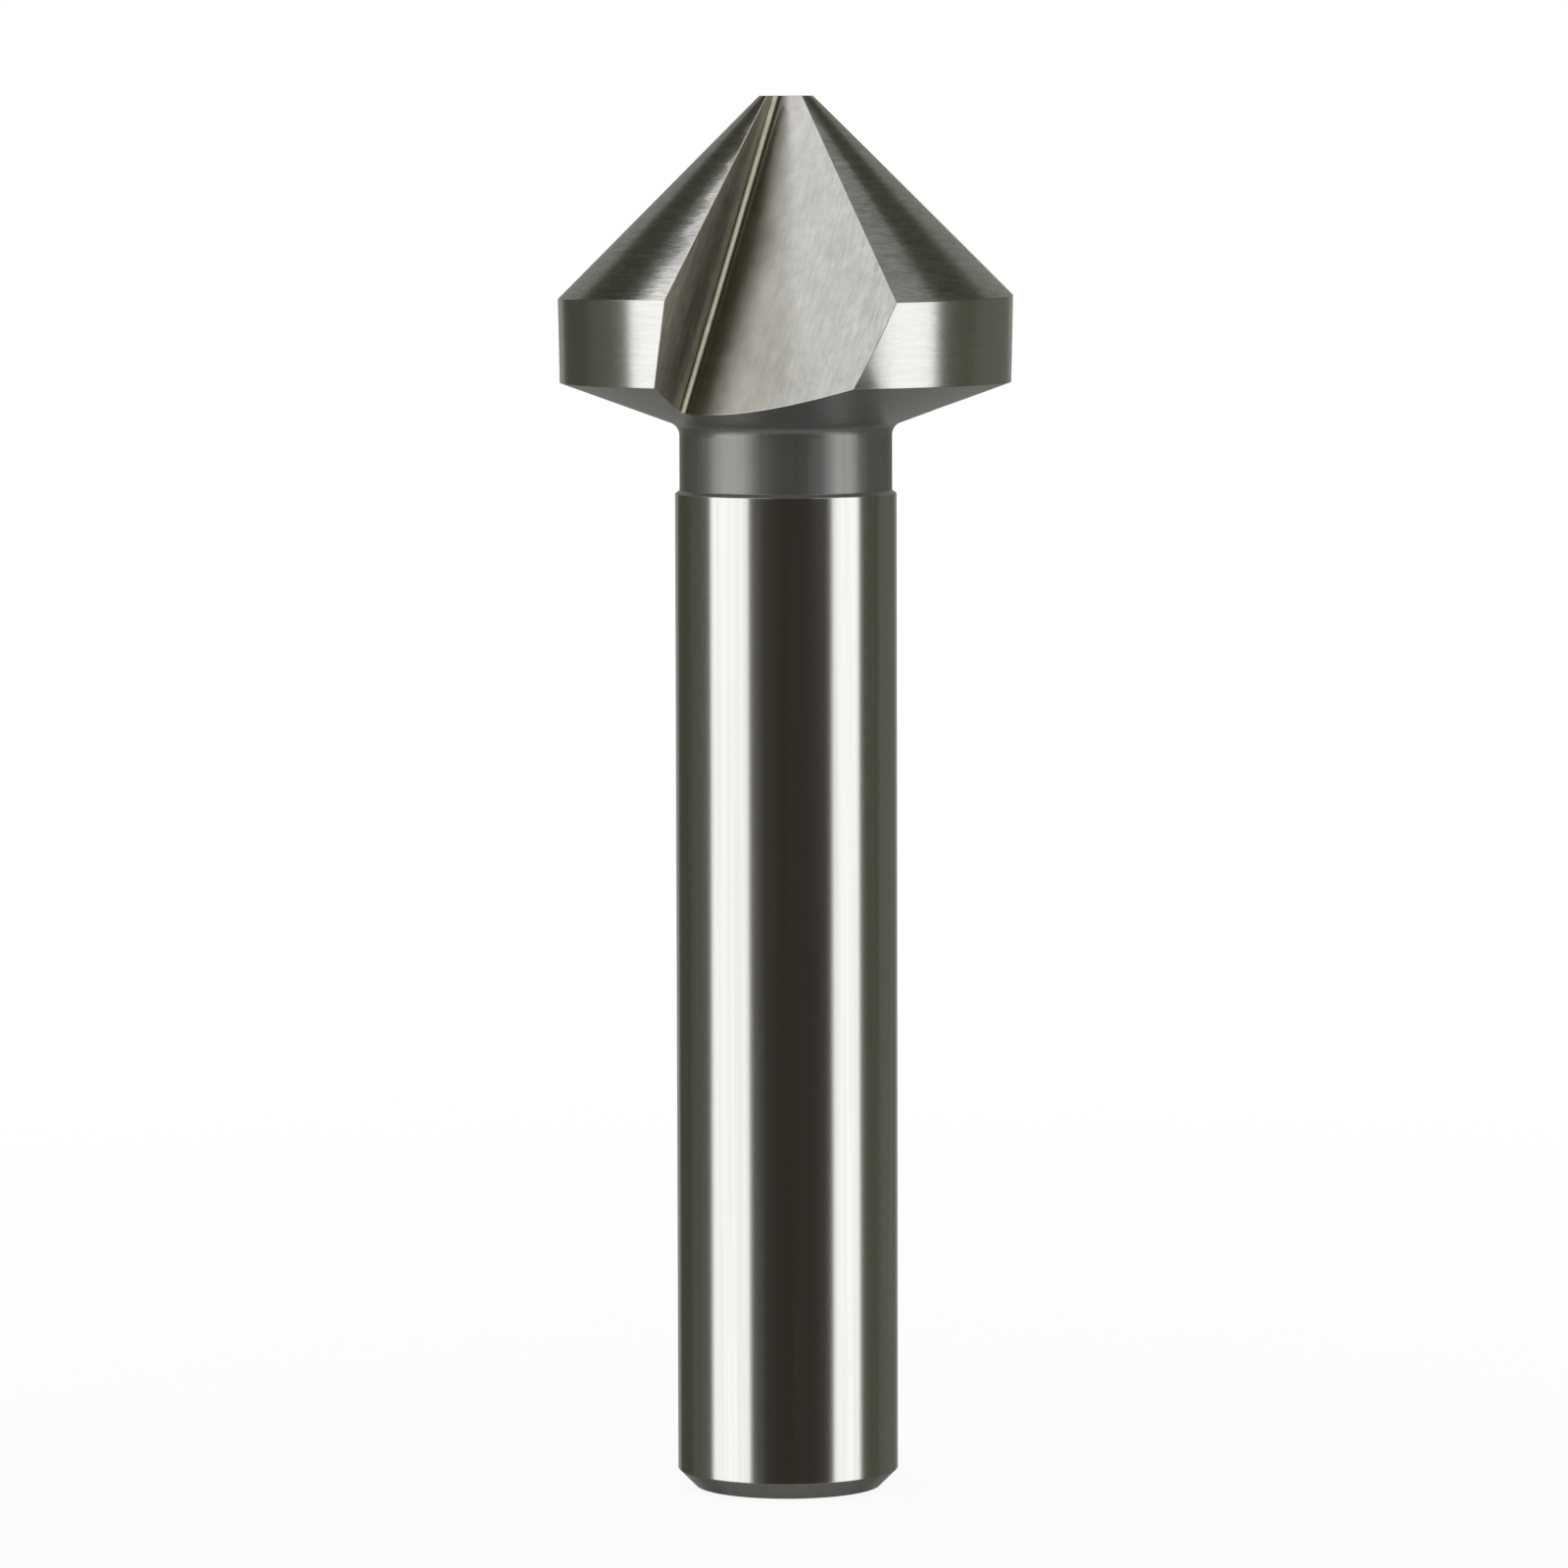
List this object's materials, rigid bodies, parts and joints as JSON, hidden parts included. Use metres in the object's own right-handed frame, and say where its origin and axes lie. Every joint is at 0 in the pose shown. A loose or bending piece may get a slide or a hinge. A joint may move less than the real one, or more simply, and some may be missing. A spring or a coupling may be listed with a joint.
{
  "type": "countersink bit",
  "caption": "Ninety degree fluted countersink bit in ground tool steel, with a cylindrical band, a short neck and a plain round shank.",
  "frame": {"origin": "centre of the shank's flat end face", "axes": "+Z along the bit's axis, from the shank end to the tip; -Y faces the first flute"},
  "size_m": [0.0204, 0.0199, 0.063],
  "materials": {
    "tool_steel": "ground bright on the lands, flutes, band and shank; dull grey under the head, on the neck and on the end chamfer"
  },
  "bodies": {
    "root": {"countersink_bit": "tool_steel"}
  },
  "joints": []
}
